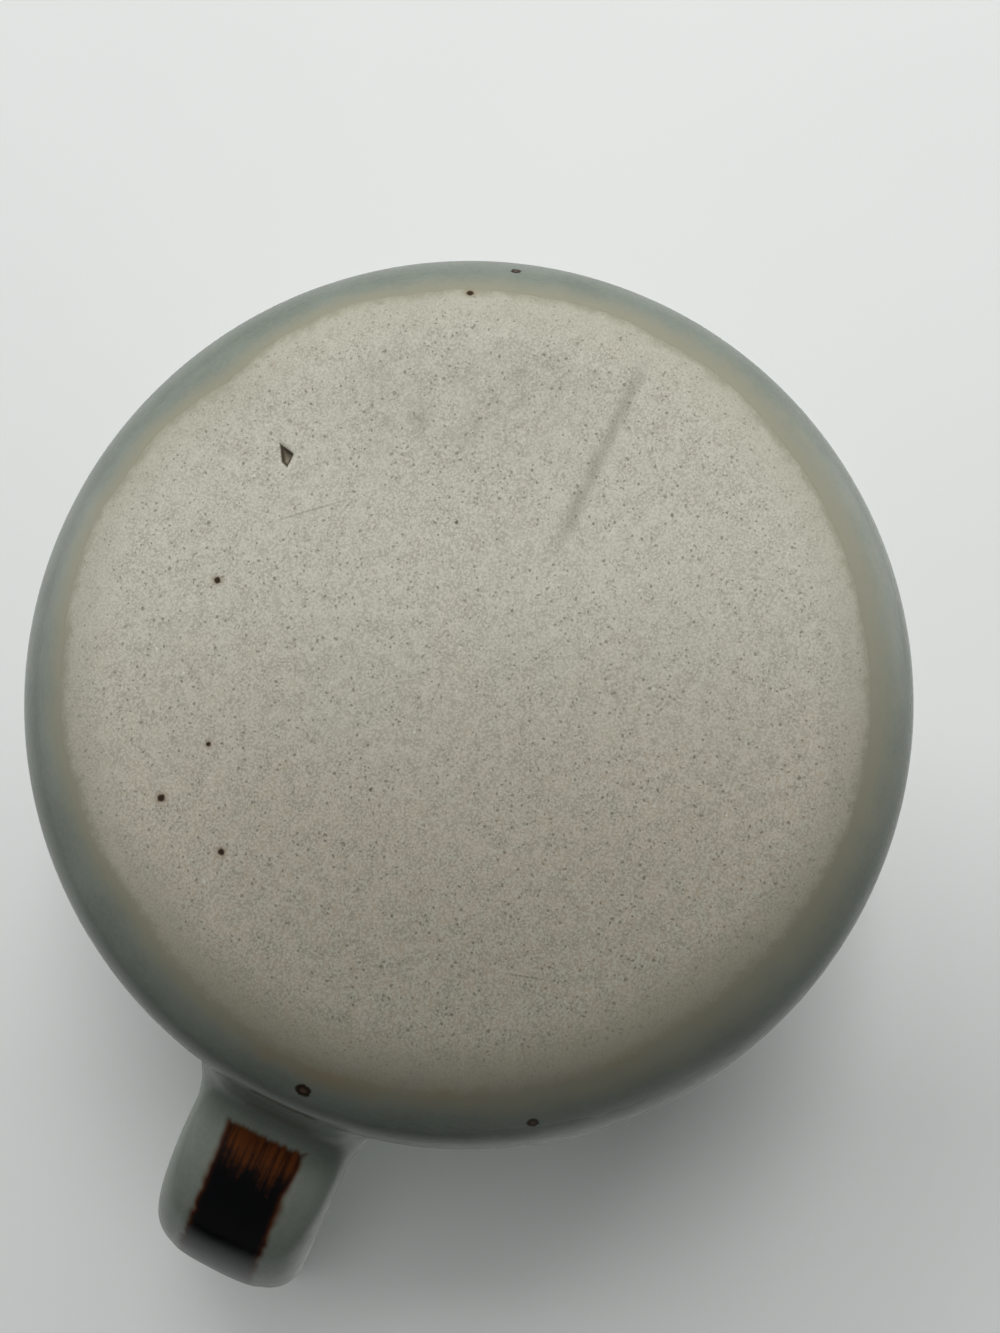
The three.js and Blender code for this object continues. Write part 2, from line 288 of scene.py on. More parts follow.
def store(obj, name, values):
    """Keeps one number per vertex, for a material to read."""
    layer = obj.data.attributes.new(name, "FLOAT", "POINT")
    layer.data.foreach_set("value", np.asarray(values, dtype=np.float32))


def faces_between(a, na, b, nb):
    """Faces between two rings, by where their points start and how many they are."""
    if na == nb:
        return [(a + j, a + (j + 1) % na, b + (j + 1) % na, b + j) for j in range(na)]
    if na == 1:
        return [(a, b + (j + 1) % nb, b + j) for j in range(nb)]
    if nb == 1:
        return [(a + j, a + (j + 1) % na, b) for j in range(na)]
    if nb == 2 * na:
        return [(a + j, a + (j + 1) % na, b + (2 * j + 2) % nb, b + 2 * j + 1, b + 2 * j) for j in range(na)]
    return [(a + 2 * j, a + 2 * j + 1, a + (2 * j + 2) % na, b + (j + 1) % nb, b + j) for j in range(nb)]


def join_rings(rings, closed=False):
    """Points and faces through rings of one point, or of as many, half or twice as many as the next ring."""
    starts = np.cumsum([0] + [len(r) for r in rings]).tolist()
    faces = []
    pairs = list(zip(range(len(rings) - 1), range(1, len(rings))))
    if closed:
        pairs.append((len(rings) - 1, 0))
    for i, k in pairs:
        if len(rings[i]) > 1 or len(rings[k]) > 1:
            faces += faces_between(starts[i], len(rings[i]), starts[k], len(rings[k]))
    return np.concatenate(rings), faces


def halved(count, radius, least):
    """A ring's number of points, halved until there is a least share of the radius for each."""
    while radius < least * count:
        count //= 2
    return count


def draw_in(rings, height):
    """Adds ever smaller rings inside the last one, and a point in the middle at a height."""
    while len(rings[-1]) > FEWEST_SEGMENTS:
        last = rings[-1][::2]
        rings.append(np.c_[last[:, :2] * RING_SHRINK, last[:, 2]])
    rings.append(np.array([[0, 0, height]]))


# Clay pot with its bare underside

FINE_SEGMENTS = 640
FINE_STEP = 0.32
FINE_END = 38.0
FULL_RING_RADIUS = 9.0
FINE_SHARE = FULL_RING_RADIUS / FINE_SEGMENTS
PLAIN_SEGMENTS = 160
PLAIN_STEP = 1.2
PLAIN_SHARE = 0.12
PLAIN_LIP_STEP = 0.35
PLAIN_LIP_LEAD = 0.3
FLOOR_GAP = 0.5


def near_line(points, line):
    """Distance of points in plan from a line piece, and how far along it they lie, from 0 to 1."""
    start, end = np.array(line[0]), np.array(line[1])
    along = np.clip((points[:, :2] - start) @ (end - start) / ((end - start) @ (end - start)), 0, 1)
    return np.linalg.norm(points[:, :2] - start - along[:, None] * (end - start), axis=1), along


def sides_of(corners):
    """Each side of a flat outline as (a, b, c): a x + b y + c is the distance inside that side."""
    ends = corners[1:] + corners[:1]
    sides = []
    for (x0, y0), (x1, y1) in zip(corners, ends):
        length = math.hypot(x1 - x0, y1 - y0)
        a, b = (y0 - y1) / length, (x1 - x0) / length
        sides.append((a, b, -a * x0 - b * y0))
    return sides


def chip_depth(points):
    """A flake knocked out of the clay: a small kite with straight steep sides."""
    inside = np.min([a * points[:, 0] + b * points[:, 1] + c for a, b, c in sides_of(CHIP)], axis=0)
    return CHIP_DEPTH * smooth(*CHIP_SIDE, inside)


def underside_relief(points):
    """Depth of the clay above the table under the mug: unevenness, a soft crease and a chip."""
    radius = np.hypot(points[:, 0], points[:, 1])
    plan = np.c_[points[:, :2], np.zeros(len(points))]
    lumps = sum(depth for depth, _, _ in UNDERSIDE_LUMPS) + uneven(plan, UNDERSIDE_LUMPS)
    distance, along = near_line(plan, CREASE)
    fade = smooth(0, CREASE_FADE, along) * (1 - smooth(1 - CREASE_FADE, 1, along))
    crease = CREASE_DEPTH * np.exp(-((distance / CREASE_HALF_WIDTH) ** 2)) * fade
    flat = 1 - smooth(*RELIEF_END, radius)
    return (lumps + crease) * flat + chip_depth(points)


def clay_piece():
    """The fired pot: its underside in fine detail, and the rest, which the glaze covers, plainly."""
    rings = [np.zeros((1, 3))]
    line = glaze_line(azimuths(FINE_SEGMENTS))
    bare = [line[:1]]
    for along in np.arange(FINE_STEP, FINE_END, FINE_STEP):
        r, z = pot.place(along)
        count = halved(FINE_SEGMENTS, r, FINE_SHARE)
        points = ring_points(azimuths(count), r, z, uneven_wall=False)
        points[:, 2] += underside_relief(points)
        rings.append(points)
        bare.append(line[:: FINE_SEGMENTS // count] - along)
    rings[0][0, 2] = underside_relief(rings[0])[0]
    count = FINE_SEGMENTS
    along = FINE_END
    while along < pot.end - FLOOR_GAP:
        r, z = pot.place(along)
        count = halved(max(count // 2, PLAIN_SEGMENTS), r, PLAIN_SHARE)
        rings.append(ring_points(azimuths(count), r, z))
        along += PLAIN_LIP_STEP if pot.lip - PLAIN_LIP_LEAD < along < pot.inside else PLAIN_STEP
    draw_in(rings, FLOOR)
    points, faces = join_rings(rings)
    obj = make_object("mug_clay", points, faces)
    bare = np.concatenate(bare)
    store(obj, "bare", np.r_[bare, np.zeros(len(points) - len(bare))])
    return obj


# Glaze on the outside

WALL_SEGMENTS = 300
FIRST_STEP = 0.09
STEP_GROWTH = 1.12
TAPER_STEP = 0.45
WALL_STEP = 1.0
LIP_STEP = 0.22
LIP_LEAD = 1.5
LINE_FADE = 1.6 * GLAZE_TAPER
LINER_OVERLAP = 3.2
OVERLAP_TAPER = 1.2
OVERLAP_EXTRA = 0.35
OVERLAP_RISE = (0.5, 1.5)
UNDER_COAT = 0.004
LIP_COVER = 1.7
LIP_COVER_GROWTH = 3.2


def glaze_line(azimuth):
    """Distance along the outline at which the outside glaze stops, which differs round the heel."""
    radius = GLAZE_LINE_RADIUS + GLAZE_LINE_SHIFT * np.cos(azimuth - GLAZE_LINE_AZIMUTH)
    for centre, width, reach in GLAZE_LINE_WAVES:
        off = np.degrees(azimuth) - centre
        off = (off + 180) % 360 - 180
        radius += reach * np.exp(-((off / width) ** 2))
    radius += uneven(ring_points(azimuth, GLAZE_LINE_RADIUS, 0, uneven_wall=False), GLAZE_LINE_LUMPS)
    bottom = pot.along < pot.wall
    return np.interp(radius, pot.radius[bottom], pot.along[bottom])


def wall_rows(line_mean):
    """Rows of the outside glaze as distances along the outline: close at its edge and on the lip."""
    rows = [line_mean]
    step = FIRST_STEP
    end = pot.crown + LINER_OVERLAP
    while rows[-1] < end:
        widest = TAPER_STEP if rows[-1] - line_mean < GLAZE_TAPER else WALL_STEP
        on_lip = pot.lip - LIP_LEAD < rows[-1]
        step = LIP_STEP if on_lip else min(step * STEP_GROWTH, widest)
        rows.append(rows[-1] + step)
    rows[-1] = end
    return np.array(rows)


def outer_glaze_piece():
    """A coat from its wiped edge on the heel, up the wall, over the lip and a little way down inside."""
    turns = azimuths(WALL_SEGMENTS)
    line = glaze_line(turns)
    mean = line.mean()
    rows = wall_rows(mean)
    end = rows[-1]
    sway = uneven(ring_points(turns, RIM_RADIUS, 0, uneven_wall=False), GLAZE_END_LUMPS)
    thinned = 1 + smooth(THIN_FROM, 1, np.cos(turns - THIN_SIDE))
    outer, inner, cover = [], [], []
    for row in rows:
        at_line = 1 - smooth(mean, mean + LINE_FADE, row)
        at_end = smooth(pot.crown, end, row)
        along = row + at_line * (line - mean) + at_end * sway
        rise = smooth(0, GLAZE_TAPER, along - line)
        fall = 1 - smooth(end - OVERLAP_TAPER, end, row)
        lap = 1 + OVERLAP_EXTRA * smooth(*OVERLAP_RISE, row - pot.crown)
        thickness = GLAZE_EDGE + (COAT * lap - GLAZE_EDGE) * rise * fall
        outer.append(ring_points(turns, *pot.place(along, thickness)))
        inner.append(ring_points(turns, *pot.place(along, UNDER_COAT)))
        on_lip = LIP_COVER + LIP_COVER_GROWTH * abs(row - pot.crown)
        cover.append(np.clip((along - line) / thinned, 0, min(on_lip, FULL_COVER)))
    points, faces = join_rings(outer + inner[::-1], closed=True)
    obj = make_object("wall_glaze", points, faces)
    store(obj, "cover", np.concatenate(cover + cover[::-1]))
    return obj


# Glaze on the inside

LINER_SEGMENTS = 240
LINER_STEP = 0.8
LINER_SHARE = 0.04


def liner_rings(thickness, ring_depth):
    """One face of the coat inside, from under the lip's overlap down to the middle of the floor."""
    rings = []
    count = LINER_SEGMENTS
    for along in np.arange(pot.crown + LINER_STEP, pot.end - FLOOR_GAP, LINER_STEP):
        fade = smooth(pot.inside, pot.inside + LINER_RINGS_FULL, along)
        lift = ring_depth * math.sin(2 * math.pi * along / LINER_RING_PITCH) * fade
        r, z = pot.place(along, thickness + lift)
        count = halved(count, r, LINER_SHARE)
        rings.append(ring_points(azimuths(count), r, z))
    draw_in(rings, FLOOR + thickness)
    return rings


def liner_piece():
    """The coat inside, with throwing rings on the face that shows."""
    shown = liner_rings(COAT, LINER_RING_DEPTH)
    hidden = liner_rings(UNDER_COAT, 0)
    points, faces = join_rings(shown + hidden[::-1], closed=True)
    obj = make_object("liner_glaze_coat", points, faces)
    store(obj, "cover", np.full(len(points), FULL_COVER))
    return obj


# Handle

LEAD_POINTS = 120
BEND_POINTS = 500
SECTION_POINTS = 4001
STRAP_SIDES = 96
FILLET_STEPS = 18
FILLET_TURNS = np.linspace(math.pi / 2, 0, FILLET_STEPS)
STRAP_STEPS = 110
ROOT_SHARE = 0.35
HALVINGS = 40
WALL_PASSES = 3
SKIRT_SPREAD = 1.2
SKIRT_SINK = 0.05
INNER_SHARE = 0.9


class Strap:
    """The strap's centre line and section, glazed, by the distance from the wall at its lower root."""

    def __init__(self):
        half = STRAP_THICKNESS / 2
        bow = strap_high[0] - half
        low, top = strap_low[2] + half, strap_high[2] - half
        low_wall, top_wall = wall_radius(low), wall_radius(top)
        low_bend, top_bend = low_wall + LOWER_LEAD, top_wall + UPPER_LEAD
        turn = np.linspace(0, math.pi / 2, BEND_POINTS)
        runs = (
            (np.linspace(low_wall - FOOT_WALL, low_bend, LEAD_POINTS), np.full(LEAD_POINTS, low)),
            (low_bend + (bow - low_bend) * np.sin(turn), BOW_HEIGHT - (BOW_HEIGHT - low) * np.cos(turn)),
            (top_bend + (bow - top_bend) * np.cos(turn), BOW_HEIGHT + (top - BOW_HEIGHT) * np.sin(turn)),
            (np.linspace(top_bend, top_wall - RIM_WALL, LEAD_POINTS), np.full(LEAD_POINTS, top)),
        )
        self.x, self.z, along, way = chained(runs)
        self.distance = along - FOOT_WALL
        self.out_x, self.out_z = way[:, 1], -way[:, 0]
        self.length = self.distance[-1]
        self.across, self.out = self.section()

    @staticmethod
    def section():
        """Unit section points spaced evenly round a strap of these proportions."""
        turn = np.linspace(0, 2 * math.pi, SECTION_POINTS)
        cos, sin = np.cos(turn), np.sin(turn)
        across = np.sign(cos) * np.abs(cos) ** SECTION_SQUARENESS
        out = np.sign(sin) * np.abs(sin) ** SECTION_CROWN
        steps = np.hypot(np.diff(across) * STRAP_WIDTH_LOW, np.diff(out) * STRAP_THICKNESS)
        run = np.concatenate([[0], np.cumsum(steps)])
        even = np.arange(STRAP_SIDES) * run[-1] / STRAP_SIDES
        return np.interp(even, run, across), np.interp(even, run, out)

    def outward(self, distance):
        """Direction out of the strap's back, as its x and its z."""
        return np.interp(distance, self.distance, self.out_x), np.interp(distance, self.distance, self.out_z)

    def half_width(self, distance, growth):
        width = STRAP_WIDTH_LOW + (STRAP_WIDTH_TOP - STRAP_WIDTH_LOW) * distance / self.length
        return width / 2 + growth

    def at(self, distance, across, out, growth):
        """Point of the section, given in shares of its half width and half thickness, at a distance."""
        reach = out * (STRAP_THICKNESS / 2 + growth)
        out_x, out_z = self.outward(distance)
        x = np.interp(distance, self.distance, self.x) + reach * out_x
        z = np.interp(distance, self.distance, self.z) + reach * out_z
        return np.stack([x, across * self.half_width(distance, growth) + 0 * x, z], axis=-1)

    def crown(self, across, distance, growth):
        """Share of the half thickness that the back reaches at a place across it, in millimetres."""
        cos = (np.abs(across) / self.half_width(distance, growth)) ** (1 / SECTION_SQUARENESS)
        return (1 - cos * cos) ** (SECTION_CROWN / 2)


strap = Strap()
outside_part = (pot.along > pot.heel) & (pot.along < pot.lip)
glazed_radius, glazed_height = pot.place(pot.along[outside_part], COAT)


def wall_x(y, z):
    """How far out the glazed wall lies at a place beside the handle."""
    r = np.interp(z, glazed_height, glazed_radius)
    for _ in range(WALL_PASSES):
        azimuth = np.arcsin(np.clip(y / r, -1, 1))
        r = np.interp(z, glazed_height, glazed_radius) + thrown(azimuth, z)
    return np.sqrt(r * r - y * y)


def distance_clear(clear, from_low):
    """Distance along the strap at which each side of its section stands clear of the wall by a length."""
    near = np.full(STRAP_SIDES, 0.0 if from_low else strap.length - RIM_WALL)
    far = np.full(STRAP_SIDES, strap.length * (ROOT_SHARE if from_low else 1 - ROOT_SHARE))
    for _ in range(HALVINGS):
        middle = (near + far) / 2
        point = strap.at(middle, strap.across, strap.out, COAT)
        short = point[:, 0] - wall_x(point[:, 1], point[:, 2]) < clear
        near = np.where(short, middle, near)
        far = np.where(short, far, middle)
    return (near + far) / 2


def fillet_ring(turn, radius, from_low, spread=0.0, sink=0.0):
    """A ring of a root's fillet: turn 0 leaves the strap and a quarter turn lies along the wall."""
    clear = radius * (1 - math.sin(turn))
    distance = distance_clear(clear, from_low)
    point = strap.at(distance, strap.across, strap.out, COAT)
    ahead = strap.at(distance, np.roll(strap.across, -1), np.roll(strap.out, -1), COAT)
    behind = strap.at(distance, np.roll(strap.across, 1), np.roll(strap.out, 1), COAT)
    edge = ahead - behind
    side = -1 if from_low else 1
    normal = np.c_[edge[:, 2], -edge[:, 1]] * side
    normal /= np.linalg.norm(normal, axis=1)[:, None]
    offset = radius * (1 - math.cos(turn)) + spread
    y = point[:, 1] + normal[:, 0] * offset
    z = point[:, 2] + normal[:, 1] * offset
    return np.c_[wall_x(y, z) + clear - sink, y, z]


def grid_normals(grid):
    """Outward normals of a grid of rings that close on themselves."""
    along = np.gradient(grid, axis=0)
    around = np.roll(grid, -1, axis=1) - np.roll(grid, 1, axis=1)
    normals = np.cross(along, around)
    normals /= np.linalg.norm(normals, axis=2)[:, :, None]
    outward = grid - grid.mean(axis=1, keepdims=True)
    return normals if (normals * outward).sum() > 0 else -normals


def slip_piece(name, radius, from_low):
    """The slip smoothed round one root of the strap, which the glaze covers."""
    skin = np.array([fillet_ring(t, radius, from_low) for t in FILLET_TURNS])
    skin -= grid_normals(skin) * COAT
    core = []
    for turn in FILLET_TURNS:
        distance = distance_clear(radius * (1 - math.sin(turn)), from_low)
        core.append(strap.at(distance, strap.across, strap.out, -COAT))
    points, faces = join_rings(list(skin) + core[::-1], closed=True)
    return make_object(name, points, faces)


def root_rings(radius, from_low):
    """Rings of the glaze over one root, from a skirt sunk in the wall's glaze out to the strap."""
    skirt = fillet_ring(math.pi / 2, radius, from_low, SKIRT_SPREAD, SKIRT_SINK)
    return [skirt] + [fillet_ring(t, radius, from_low) for t in FILLET_TURNS]


def handle_glaze_piece():
    """The coat over the strap, flowing into the wall at both roots."""
    rings = root_rings(LOWER_FILLET, True)
    low, top = distance_clear(LOWER_FILLET, True), distance_clear(UPPER_FILLET, False)
    for share in np.linspace(0, 1, STRAP_STEPS + 1)[1:-1]:
        rings.append(strap.at(low + (top - low) * share, strap.across, strap.out, COAT))
    rings += root_rings(UPPER_FILLET, False)[::-1]
    grid = np.array(rings)
    wave = uneven(grid.reshape(-1, 3), HANDLE_LUMPS).reshape(grid.shape[:2])
    calm = np.ones(len(grid))
    calm[: FILLET_STEPS + 1] = np.linspace(0, 1, FILLET_STEPS + 1)
    calm[-FILLET_STEPS - 1 :] = np.linspace(1, 0, FILLET_STEPS + 1)
    normals = grid_normals(grid)
    grid = grid + normals * (wave * calm[:, None])[:, :, None]
    inner = grid - normals * INNER_SHARE * COAT
    points, faces = join_rings(list(grid) + list(inner[::-1]), closed=True)
    obj = make_object("handle_glaze_coat", points, faces)
    store(obj, "cover", np.full(len(points), FULL_COVER))
    return obj


# Brushed stripe on the handle

BRUSH_ROWS = 150
BRUSH_COLUMNS = 41
BRUSH_SIDE_TAPER = 0.8
BRUSH_END_TAPER = 1.2
BRUSH_EDGE = 0.012
BRUSH_RISE = 0.06
BRUSH_SINK = 0.1
RAY_START = 2.0


def laid_on(points, out, tree):
    """Points moved along a direction until they lie on a surface."""
    ray = Vector(-out)
    hits = [tree.ray_cast(Vector((p + out * RAY_START) * MM), ray)[0] for p in points]
    return np.array([np.array(h) / MM for h in hits])


def brush_piece(coat):
    """A thin brushed stripe on the back of the strap, raised a little and thinner at its edges."""
    tree = BVHTree.FromObject(coat, bpy.context.evaluated_depsgraph_get())
    distances = np.linspace(BRUSH_START, BRUSH_END, BRUSH_ROWS)
    places = np.linspace(BRUSH_HALF_WIDTH, -BRUSH_HALF_WIDTH, BRUSH_COLUMNS)
    at_sides = smooth(0, BRUSH_SIDE_TAPER, BRUSH_HALF_WIDTH - np.abs(places))
    rings = []
    for distance in distances:
        point = strap.at(distance, places * 0, strap.crown(places, distance, COAT), COAT)
        point[:, 1] = places
        out_x, out_z = strap.outward(distance)
        out = np.array([out_x, 0, out_z])
        point = laid_on(point, out, tree)
        edge = at_sides * smooth(0, BRUSH_END_TAPER, min(distance - BRUSH_START, BRUSH_END - distance))
        top = point + out * (BRUSH_EDGE + BRUSH_RISE * edge)[:, None]
        under = point - out * BRUSH_SINK
        rings.append(np.concatenate([top, under[::-1]]))
    points, faces = join_rings(rings)
    size = len(rings[0])
    faces.append(tuple(range(size)))
    faces.append(tuple(range(len(points) - size, len(points))))
    obj = make_object("brush_stroke", points, faces)
    store(obj, "along", np.repeat(distances, size))
    store(obj, "across", np.tile(np.r_[places, places[::-1]], len(distances)))
    store(obj, "cover", np.full(len(points), FULL_COVER))
    return obj


# Materials


def linear(red, green, blue):
    """Colour for a shader from screen values of 0 to 255."""
    def channel(v):
        v /= 255
        return v / 12.92 if v <= 0.04045 else ((v + 0.055) / 1.055) ** 2.4
    return (channel(red), channel(green), channel(blue), 1.0)


# Colours of the clay and its marks
CLAY_GREY = linear(188, 187, 172)
CLAY_BLOTCH = linear(181, 179, 164)
CLAY_WARM = linear(189, 178, 158)
CLAY_MOTTLE = linear(160, 156, 142)
CLAY_GRAIN = linear(208, 205, 192)
CLAY_PALE_SPECK = linear(222, 220, 210)
CLAY_FINE_SPECK = linear(108, 103, 89)
CLAY_MEDIUM_SPECK = linear(86, 80, 66)
CLAY_DARK_SPECK = linear(66, 55, 42)
CLAY_SMUDGE = linear(132, 131, 122)
# Painted shade that darkens the clay along the crease
PAINTED_CREASE_SHADE = linear(112, 112, 104)
CLAY_SCRATCH = linear(108, 102, 90)
# Painted shade on the clay next to the glaze: deeper on one side, then all round
CLAY_SIDE_PAINTED_SHADE = linear(148, 141, 124)
CLAY_EDGE_PAINTED_SHADE = linear(166, 164, 148)
CHIP_RIM = linear(74, 66, 55)
CHIP_BED = linear(142, 134, 118)
SPOT_HALO = linear(140, 118, 90)
SPOT_IRON = linear(58, 44, 32)
SLIP = linear(166, 158, 142)

# Colours of the glaze and of the stripe
TAN = linear(151, 149, 131)
FLASHED = linear(156, 134, 102)
GREY_BODY = linear(132, 140, 131)
GREY_SHADE = linear(123, 131, 122)
LINER_BODY = linear(160, 166, 154)
LINER_SHADE = linear(149, 154, 141)
GLAZE_FLECK = linear(148, 155, 145)
GLAZE_HALO = linear(120, 104, 78)
GLAZE_IRON = linear(72, 52, 34)
GLAZE_SPECK = linear(104, 100, 84)
RING_IRON = linear(44, 31, 22)
RING_HEART = linear(92, 78, 62)
RUST_PALE = linear(96, 50, 17)
RUST_DARK = linear(56, 26, 10)
BLUE_BLACK = linear(12, 13, 15)

# Patches: size in millimetres, detail, roughness, pattern, and the levels of noise between which they rise
BLOTCHES = (13.0, 3.0, 0.55, 0.0, 0.35, 0.68)
MOTTLES = (1.5, 4.0, 0.55, 12.0, 0.32, 0.68)
GRAINS = (0.2, 2.0, 0.6, 0.0, 0.36, 0.64)
PEPPERING = (11.0, 2.0, 0.5, 37.0, 0.35, 0.65)
RUBBINGS = (2.4, 6.0, 0.75, 61.0, 0.36, 0.74)
FLASHES = (7.0, 3.0, 0.5, 66.0, 0.4, 0.7)
CLOUDS = (6.0, 3.0, 0.6, 15.0, 0.3, 0.7)
FLECKS = (0.45, 3.0, 0.7, 2.0, 0.35, 0.7)
GLOSS_PATCHES = (3.0, 3.0, 0.5, 7.0, 0.3, 0.7)
SHEET_PATCHES = (60.0, 2.0, 0.5, 0.0, 0.3, 0.7)

# Specks: spacing, share of the places that hold one, radius and pattern
PALE_SPECKS = (0.9, 0.25, 0.2, 5.0)
FINE_SPECKS = (0.42, 0.75, 0.17, 0.0)
MEDIUM_SPECKS = (1.0, 0.5, 0.22, 47.0)
DARK_SPECKS = (3.4, 0.35, 0.28, 23.0)
GLAZE_HALOES = (4.2, 0.2, 0.5, 33.0)
GLAZE_IRONS = (4.2, 0.2, 0.24, 33.0)
GLAZE_SPECKS = (0.9, 0.25, 0.10, 71.0)

# Ragged edges: size of the lumps, reach either way and pattern
WARM_EDGE = (9.0, 9.0, 40.0)
CLAY_EDGE = (1.2, 0.8, 57.0)
COVER_EDGE = (2.6, 0.6, 51.0)
STROKE_EDGE = (2.4, 0.35, 81.0)

# Where tints rise or fade: two places in millimetres, and the strengths there unless they are 0 and 1
WARM_RISE = (-8.0, 14.0)
# Painted shade on the clay by the glaze: where it rises on one side, and how it fades from the glaze's edge
# there and all round
SIDE_SHADING_RISE = (10.0, 28.0)
SIDE_SHADING_FADE = (0.0, 7.0, 0.7, 0.0)
EDGE_SHADING_FADE = (0.0, 6.0, 0.55, 0.0)
TAN_FADE = (-0.2, 1.3, 0.92, 0.0)
FLASH_RISE = (12.0, 32.0, 0.0, 0.6)
THIN_FADE = (0.0, 2.6, 0.92, 0.0)
DULL_FADE = (0.3, 4.0, 0.55, 0.0)
CHIP_RIM_RISE = (-0.1, 0.08)
CHIP_BED_RISE = (0.12, 0.38, 0.0, 0.8)

# Shapes of the round marks, in shares of a mark's radius
HALO_RADIUS = 1.9
HALO_SOFTNESS = 1.2
SPOT_SOFTNESS = 0.5
RING_SOFTNESS = 0.3
HEART_RADIUS = 0.55
HEART_SOFTNESS = 0.4
MARK_WAVE = 0.5
SPECK_BEND = 2.0

# Lumps to a speck's radius in the noise that bends it
SPECK_LUMPS = 0.6

# Sockets of a colour mix
MIX_FIRST = 6
MIX_SECOND = 7
MIX_RESULT = 2


class Nodes:
    """A node tree, built by short calls that return sockets."""

    def __init__(self, tree):
        self.tree = tree
        self.tree.nodes.clear()

    def add(self, kind, inputs=(), **settings):
        """A node; its inputs, by number or name, take links, numbers or colours."""
        node = self.tree.nodes.new(kind)
        for name, value in settings.items():
            setattr(node, name, value)
        for socket, value in dict(inputs).items():
            if isinstance(value, bpy.types.NodeSocket):
                self.tree.links.new(value, node.inputs[socket])
            else:
                node.inputs[socket].default_value = value
        return node

    def math(self, operation, a, b=0.0):
        return self.add("ShaderNodeMath", {0: a, 1: b}, operation=operation).outputs[0]

    def dot(self, vector, axis):
        inputs = {0: vector, 1: axis}
        return self.add("ShaderNodeVectorMath", inputs, operation="DOT_PRODUCT").outputs["Value"]

    def fit(self, value, low, high, start=0.0, end=1.0, curve="SMOOTHSTEP"):
        """Maps low to high onto start to end, and holds the ends."""
        inputs = enumerate((value, low, high, start, end))
        return self.add("ShaderNodeMapRange", inputs, interpolation_type=curve).outputs[0]

    def mix(self, share, a, b):
        """A mix of two colours."""
        inputs = {0: share, MIX_FIRST: a, MIX_SECOND: b}
        return self.add("ShaderNodeMix", inputs, data_type="RGBA").outputs[MIX_RESULT]

    def plain(self, kind, colour):
        """A shader of one kind and colour."""
        return self.add(kind, {"Color": colour}).outputs[0]

    def either(self, share, a, b):
        """A mix of two shaders."""
        return self.add("ShaderNodeMixShader", enumerate((share, a, b))).outputs[0]


